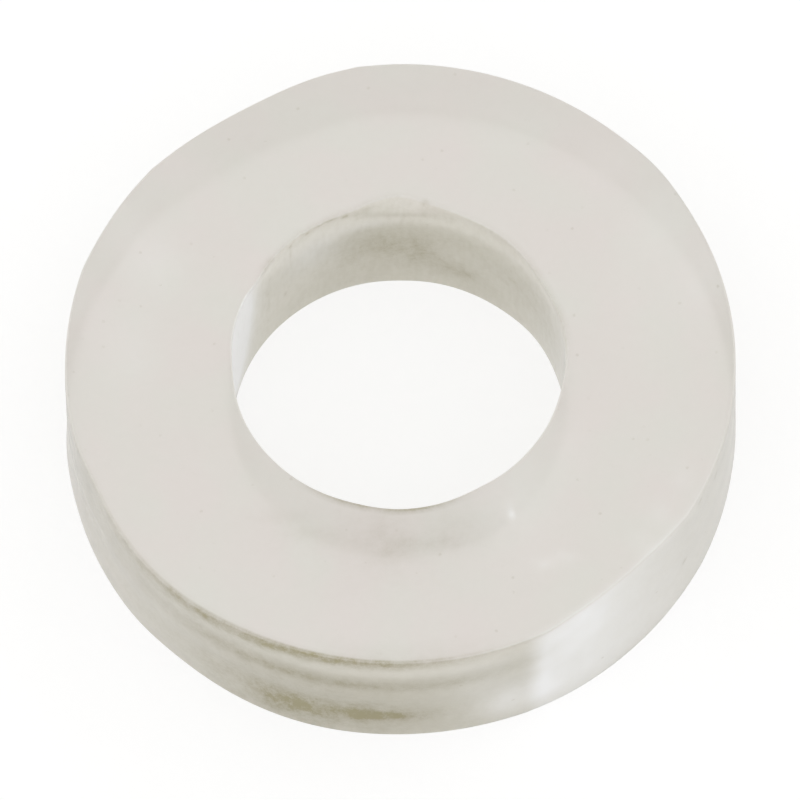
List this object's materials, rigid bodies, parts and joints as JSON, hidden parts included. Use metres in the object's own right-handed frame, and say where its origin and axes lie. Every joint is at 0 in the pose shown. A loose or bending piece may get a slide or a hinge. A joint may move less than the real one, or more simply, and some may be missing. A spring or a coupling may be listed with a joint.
{
  "type": "rubber washer",
  "caption": "Thick flat ring of clear soft rubber with a plain round bore, cut from sheet, that seals or cushions under a screw head or between two faces.",
  "frame": {"origin": "middle of the round outline in the plane of the lower face", "axes": "+Z along the bore axis, from the lower face to the upper face; +Y towards the torn spot in the upper rim of the bore"},
  "size_m": [0.0126, 0.0126, 0.0031],
  "materials": {
    "clear_rubber": "satin faces, smoother cut walls, translucent"
  },
  "bodies": {
    "root": {"washer": "clear_rubber"}
  },
  "joints": []
}
